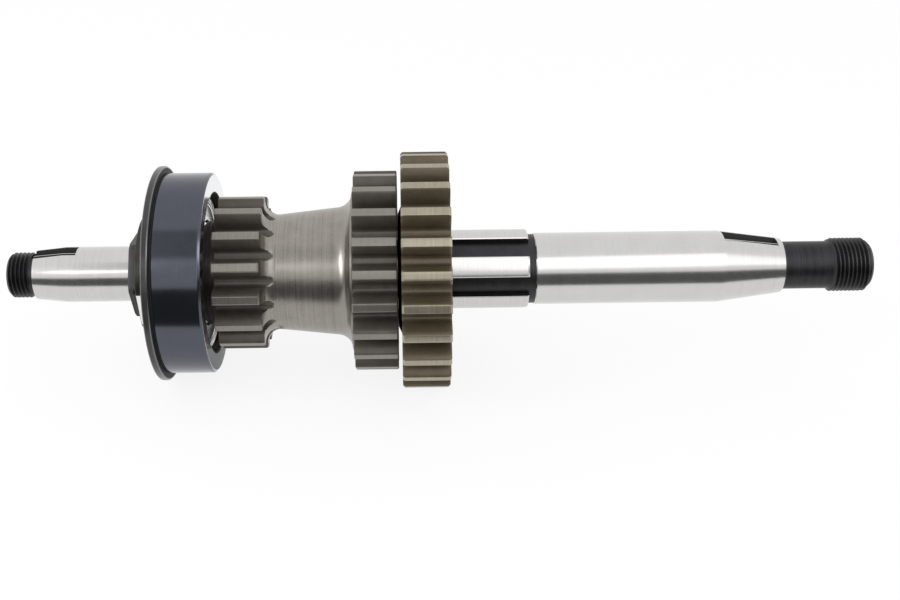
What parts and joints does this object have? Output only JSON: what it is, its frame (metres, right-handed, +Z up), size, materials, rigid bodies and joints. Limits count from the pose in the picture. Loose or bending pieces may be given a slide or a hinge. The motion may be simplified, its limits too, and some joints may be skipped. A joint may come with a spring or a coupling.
{
  "type": "transmission main shaft",
  "caption": "Gearbox main shaft with fixed low gears on a waisted sleeve, a free gear, splines, keyed tapered ends and a flanged bearing housing.",
  "frame": {"origin": "on the shaft's axis at the middle of the ball bearing, which is the middle of the housing seat", "axes": "+X along the shaft from the kicker end to the clutch end, +Z up through the middle of both keyways"},
  "size_m": [0.2998, 0.0824, 0.0824],
  "materials": {
    "ground_steel": "ground bright",
    "gear_steel": "satin heat-treated",
    "bronzed_steel": "satin heat-treated",
    "bronze": "satin",
    "dark_steel": "black oxide",
    "spring_steel": "black oxide",
    "blued_steel": "blue-black oxide",
    "bearing_steel": "polished",
    "cage_steel": "pressed",
    "shield_steel": "pressed",
    "black_oxide": "black oxide"
  },
  "bodies": {
    "shaft": {"mainshaft": "ground_steel", "first_second_gear": "gear_steel", "third_gear_thrust_washer": "dark_steel", "third_gear_retaining_ring": "spring_steel", "bearing_inner_ring": "bearing_steel", "bearing_washer": "dark_steel", "bearing_spacer": "dark_steel", "lock_washer": "dark_steel", "bearing_nut": "black_oxide"},
    "housing": {"bearing_housing": "blued_steel", "bearing_outer_ring": "bearing_steel", "bearing_shield_left": "shield_steel", "bearing_shield_right": "shield_steel"},
    "ball_cage": {"bearing_ball_1": "bearing_steel", "bearing_ball_2": "bearing_steel", "bearing_ball_3": "bearing_steel", "bearing_ball_4": "bearing_steel", "bearing_ball_5": "bearing_steel", "bearing_ball_6": "bearing_steel", "bearing_ball_7": "bearing_steel", "bearing_cage_left": "cage_steel", "bearing_cage_right": "cage_steel", "cage_rivets": "cage_steel"},
    "free_gear": {"third_gear": "bronzed_steel", "third_gear_bushing": "bronze"}
  },
  "joints": [
    {"name": "housing_spin", "type": "hinge", "parent": "shaft", "child": "housing", "pos_m": [0, 0, 0], "axis": [1, 0, 0], "continuous": true},
    {"name": "cage_spin", "type": "hinge", "parent": "shaft", "child": "ball_cage", "pos_m": [0, 0, 0], "axis": [1, 0, 0], "continuous": true},
    {"name": "third_gear_spin", "type": "hinge", "parent": "shaft", "child": "free_gear", "pos_m": [0.08374, 0, 0], "axis": [1, 0, 0], "continuous": true}
  ],
  "couplings": [
    {"joint": "cage_spin", "follows": "housing_spin", "ratio": 0.6318}
  ]
}
